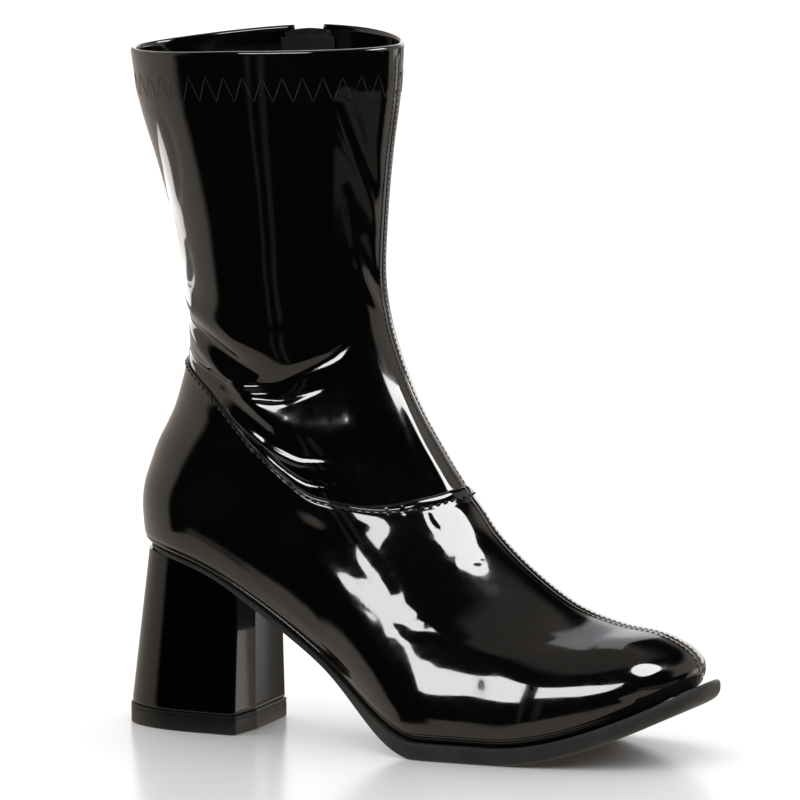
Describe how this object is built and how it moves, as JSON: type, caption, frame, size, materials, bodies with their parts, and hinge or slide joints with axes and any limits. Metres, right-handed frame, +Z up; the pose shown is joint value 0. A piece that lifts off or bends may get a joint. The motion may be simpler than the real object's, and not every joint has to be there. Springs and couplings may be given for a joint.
{
  "type": "go go boot",
  "caption": "Mid-calf patent go go boot with a rounded toe, flared block heel, cross seam over the ankle, zigzag hem at the collar and a zip on its inner side.",
  "frame": {"origin": "centre of the heel tip's ground face", "axes": "+X to the toe, +Y to the inner (medial) side where the zip is, +Z up out of the collar"},
  "size_m": [0.2559, 0.0916, 0.2871],
  "materials": {
    "upper_patent": "black patent, high gloss",
    "sole_rubber": "dark grey, semi-matte",
    "insole_sock": "matt black sock",
    "heel_cover": "black patent, high gloss",
    "tip_rubber": "dark, semi-matte",
    "zip_woven": "woven grey tape",
    "zip_chain": "dark teeth",
    "zip_metal": "black enamel"
  },
  "bodies": {
    "boot": {"upper": "upper_patent", "outsole": "sole_rubber", "insole": "insole_sock", "heel": "heel_cover", "heel_tip": "tip_rubber", "zip_tape": "zip_woven", "zip_teeth": "zip_chain", "zip_slider": "zip_metal"},
    "pull": {"zip_pull": "zip_metal"}
  },
  "joints": [
    {"name": "pull_tab_hinge", "type": "hinge", "parent": "boot", "child": "pull", "pos_m": [0.03276, 0.04443, 0.27348], "axis": [0.9983, -0.0005, 0.0581], "range_deg": [0, 150]}
  ]
}
